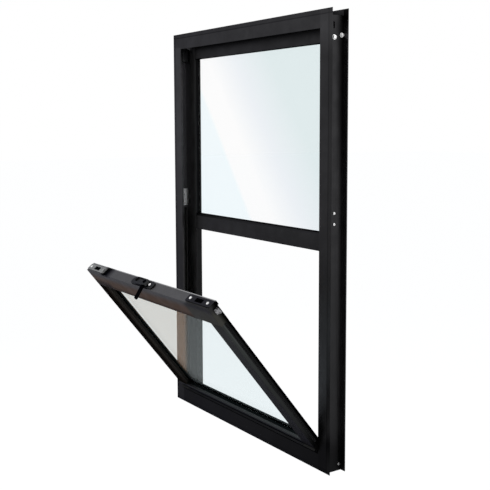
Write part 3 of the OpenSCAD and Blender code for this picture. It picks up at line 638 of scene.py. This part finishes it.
def pile_strips(name, node, material):
    """Tufts of pile standing on a backing strip in the grooves of both stiles."""
    rnd = random.Random(3)
    bm = bmesh.new()
    for points in islands(node):
        low, high = corners([PART_TO_SASH @ p for p in points])
        right = low.x + high.x > 0
        out = 1 if right else -1
        root_x = low.x if right else high.x
        tip_x = high.x if right else low.x
        back = [
            (root_x, low.y), (root_x + out * 2.6 * MM, low.y),
            (root_x + out * 2.6 * MM, high.y), (root_x, high.y),
        ]
        strip = [[SASH_TO_PART @ Vector((x, y, z)) for x, y in back] for z in (low.z, high.z)]
        made = rings(bm, strip)
        for end in made:
            bm.faces.new(end)
        rows, pitch = 4, 1.5 * MM
        wide = (high.y - low.y) / rows
        for k in range(int((high.z - low.z) / pitch)):
            for row in range(rows):
                reach = tip_x - out * rnd.uniform(0.0, 0.9) * MM
                lean = rnd.uniform(-0.3, 0.3) * MM
                z0, y0 = low.z + k * pitch, low.y + row * wide
                foot = [
                    Vector((root_x + out * 2.5 * MM, y, z))
                    for y, z in ((y0, z0), (y0 + wide, z0), (y0 + wide, z0 + pitch), (y0, z0 + pitch))
                ]
                top = [
                    Vector((reach, p.y + (0.25 * wide if i in (0, 3) else -0.25 * wide),
                            min(max(p.z + lean, low.z), high.z)))
                    for i, p in enumerate(foot)
                ]
                tuft = rings(bm, [[SASH_TO_PART @ p for p in foot], [SASH_TO_PART @ p for p in top]])
                bm.faces.new(tuft[1])
    piece = new_piece(name, bm, material, smooth=False)
    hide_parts(node)
    return piece


# ---- finishes of the CAD nodes

def finish_nodes():
    black = black_anodised("frame_black", (0.0265, 0.0263, 0.0275), shade=frame_painted_light)
    sash_black = black_anodised("sash_black", (0.024, 0.025, 0.025), shade=sash_painted_light)
    # A shaded copy of the sash paint: painted shade makes the left stile nearly black.
    left_stile = black_anodised(
        "left_stile_shaded_black", (0.006, 0.005, 0.004), 0.5, shade=left_stile_painted_shade, glance=0.1
    )
    glazing = black_anodised("glazing_vinyl", (0.006, 0.006, 0.0065), 0.5)
    sash_bead = vinyl("sash_bead", (0.010, 0.013, 0.014), 0.6, 1.4)
    # Shaded copies of the sash bead: painted shade makes the left bead, the bottom bead and the sash's glazing
    # tape darker.
    left_bead_shaded_copy = black_anodised("left_bead_shaded_copy", (0.014, 0.013, 0.012), 0.5, glance=0.2)
    low_bead_shaded_copy = black_anodised("low_bead_shaded_copy", (0.007, 0.009, 0.0095), 0.5, 0.5, glance=0.1)
    plastic = nylon("nylon", (0.008, 0.008, 0.009))
    # Painted shade: the latch buttons are near black so the latch slots read dark.
    buttons = black_anodised("button_black", (0.005, 0.005, 0.0055), 0.4)
    zinc = metal("zinc", (0.55, 0.56, 0.57), 0.36, 0.3)
    # Painted light: the clip is near white and non-metallic so it stays pale in its shaded recess.
    clip = metal("clip_zinc", (0.97, 0.97, 0.98), 0.45, 0.3, 0.8, clip_painted_shade, metallic=0.0)
    bolt = metal("bolt_steel", (0.34, 0.34, 0.35), 0.4, 0.4, 0.8, bolt_painted_shade)
    balance = metal("balance_metal", (0.1, 0.1, 0.1), 0.45, 0.4)
    latch_grey = nylon("latch_grey", (0.14, 0.145, 0.15), 0.42, latch_painted_shadow)
    # A shaded copy of the latch finish: painted shade makes the right latch dark.
    right_latch_shaded_copy = black_anodised("right_latch_shaded_copy", (0.026, 0.026, 0.028), 0.36, 0.6)
    lock_black = black_anodised("lock_black", (0.034, 0.035, 0.036), 0.32, 0.6)
    lever_black = black_anodised("lever_black", (0.006, 0.006, 0.0065), 0.32, 0.6)
    upper_pane = pane("upper_pane", upper_painted_reflection, upper_veil_colour, upper_veil)
    sash_pane = pane("sash_pane", sash_painted_reflection, sash_veil_colour, sash_veil)
    return {
        "frame_head": black, "frame_sill": black, "frame_jamb_left": black,
        "frame_jamb_right": black, "meeting_rail": black, "jamb_fillers": black,
        "upper_bead_top": glazing, "upper_bead_bottom": glazing, "upper_bead_left": glazing,
        "upper_bead_right": glazing, "upper_glazing_tape": glazing, "sash_glazing_tape": low_bead_shaded_copy,
        "sash_bottom_seal": glazing, "sash_stop_left": plastic, "sash_stop_right": plastic,
        "balance_shoe_left": plastic, "balance_shoe_right": plastic, "latch_buttons": buttons,
        "balance_clip_left": clip, "balance_clip_right": clip, "pivot_bar_left": zinc,
        "pivot_bar_right": zinc, "latch_bolt_left": bolt, "latch_bolt_right": bolt,
        "balance_left": balance, "balance_right": balance,
        "sash_top_rail": sash_black, "sash_bottom_rail": sash_black,
        "sash_stile_left": left_stile, "sash_stile_right": sash_black,
        "sash_bead_top": sash_bead, "sash_bead_bottom": low_bead_shaded_copy, "sash_bead_left": left_bead_shaded_copy,
        "sash_bead_right": sash_bead, "tilt_latch_left": latch_grey,
        "tilt_latch_right": right_latch_shaded_copy, "lock_base": lock_black, "lock_lever": lever_black,
        "upper_glass": upper_pane, "sash_glass": sash_pane,
    }


def dress(node, material, edge=0.35 * MM):
    """Gives a CAD node its finish and softly rounded edges."""
    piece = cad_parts[node]
    piece.data.materials.clear()
    piece.data.materials.append(material)
    weld = piece.modifiers.new("weld", "WELD")
    weld.merge_threshold = 1e-5
    bevel = piece.modifiers.new("edges", "BEVEL")
    bevel.width = edge
    bevel.segments = 2
    bevel.limit_method = "ANGLE"
    bevel.angle_limit = math.radians(28)
    bevel.harden_normals = True
    bevel.use_clamp_overlap = True


SMALL_EDGE = 0.2 * MM
FINE = ("upper_bead", "sash_bead", "glazing_tape", "seal", "latch_", "lock_", "balance", "glass")
for node_name, finish in finish_nodes().items():
    fine = any(word in node_name for word in FINE)
    dress(node_name, finish, SMALL_EDGE if fine else 0.35 * MM)

steel = metal("screw_steel", (0.86, 0.86, 0.86), 0.26, 0.2, 0.8, screw_painted_shade)
sash_screws("latch_screw_heads", "latch_screws", steel)
sash_screws("lock_screw_heads", "lock_screws", steel)
web_screws("corner_screw_heads", "corner_screws", steel)
web_screws("channel_screw_heads", "channel_screws", steel)
pile_strips("pile_tufts", "sash_piles", pile_fibre("pile"))


# ---- stage, light and camera

def white_to_view(tree, lit_shader, white):
    """Shows the white to what is seen, mirrored or looked at through glass, and the lit shader otherwise."""
    path = tree.nodes.new("ShaderNodeLightPath")
    seen = path.outputs["Is Camera Ray"]
    for name in ("Is Glossy Ray", "Is Transmission Ray"):
        either = tree.nodes.new("ShaderNodeMath")
        either.operation = "MAXIMUM"
        tree.links.new(seen, either.inputs[0])
        tree.links.new(path.outputs[name], either.inputs[1])
        seen = either.outputs[0]
    mix = tree.nodes.new("ShaderNodeMixShader")
    tree.links.new(seen, mix.inputs["Fac"])
    tree.links.new(lit_shader, mix.inputs[1])
    tree.links.new(white, mix.inputs[2])
    return mix.outputs[0]


def make_world(level):
    world = bpy.data.worlds.new("studio")
    bpy.context.scene.world = world
    world.use_nodes = True
    tree = world.node_tree
    tree.nodes.clear()
    out = tree.nodes.new("ShaderNodeOutputWorld")
    lit, white = (tree.nodes.new("ShaderNodeBackground") for _ in range(2))
    lit.inputs["Color"].default_value = (0.97, 0.985, 1.0, 1.0)
    lit.inputs["Strength"].default_value = level
    white.inputs["Color"].default_value = (1.0, 1.0, 1.0, 1.0)
    white.inputs["Strength"].default_value = 1.0
    tree.links.new(white_to_view(tree, lit.outputs[0], white.outputs[0]), out.inputs["Surface"])


FLOOR_Z = -0.95


def make_floor():
    """A wide pale floor at serving height below the sill; its white is added to what it is lit to."""
    bm = bmesh.new()
    size = 40.0
    square = ((-size, -size), (size, -size), (size, size), (-size, size))
    bm.faces.new([bm.verts.new((x, y, FLOOR_Z)) for x, y in square])
    mesh = bpy.data.meshes.new("floor")
    bm.to_mesh(mesh)
    bm.free()
    floor = bpy.data.objects.new("floor", mesh)
    bpy.context.scene.collection.objects.link(floor)
    s = Shade("floor_pale")
    lit = s.add("ShaderNodeBsdfDiffuse", {"Color": (0.4, 0.4, 0.4, 1.0)})
    lift = s.add("ShaderNodeEmission", {"Color": (1.0, 1.0, 1.0, 1.0), "Strength": 0.7})
    both = s.add("ShaderNodeAddShader")
    s.tree.links.new(lit.outputs[0], both.inputs[0])
    s.tree.links.new(lift.outputs[0], both.inputs[1])
    floor.data.materials.append(s.finish(white_to_view(s.tree, lit.outputs[0], both.outputs[0])))


def soft_light(name, at, aim, size, power, colour=(1.0, 1.0, 1.0)):
    lamp = bpy.data.lights.new(name, "AREA")
    lamp.shape = "RECTANGLE"
    lamp.size, lamp.size_y = size
    lamp.energy = power
    lamp.color = colour
    holder = bpy.data.objects.new(name, lamp)
    bpy.context.scene.collection.objects.link(holder)
    holder.location = at
    holder.rotation_euler = (Vector(aim) - Vector(at)).to_track_quat("-Z", "Y").to_euler()
    holder.visible_camera = False


def make_camera():
    """The photograph's view: from the right of the indoor side, a little above the middle."""
    data = bpy.data.cameras.new("camera")
    data.sensor_width = 36.0
    data.lens = 63.761
    data.shift_y = -0.0653
    data.clip_end = 200.0
    camera = bpy.data.objects.new("camera", data)
    bpy.context.scene.collection.objects.link(camera)
    turn = (
        Matrix.Rotation(math.radians(56.071), 4, "Z")
        @ Matrix.Rotation(math.pi / 2 + math.radians(-5.699), 4, "X")
        @ Matrix.Rotation(math.radians(-0.192), 4, "Z")
    )
    camera.matrix_world = Matrix.Translation((1.5919, -1.1062, 0.6788)) @ turn
    bpy.context.scene.camera = camera


make_camera()
make_world(0.75)
make_floor()
soft_light("key", (-3.3, -1.9, 0.7), (0.0, 0.0, 0.5), (2.4, 2.6), 13)
soft_light("top", (-2.2, -0.3, 2.2), (0.0, -0.1, 0.3), (2.0, 1.6), 7)
soft_light("side", (2.8, 1.6, 0.9), (0.2, 0.0, 0.45), (1.6, 1.8), 9)
bpy.context.scene.view_settings.view_transform = "Standard"
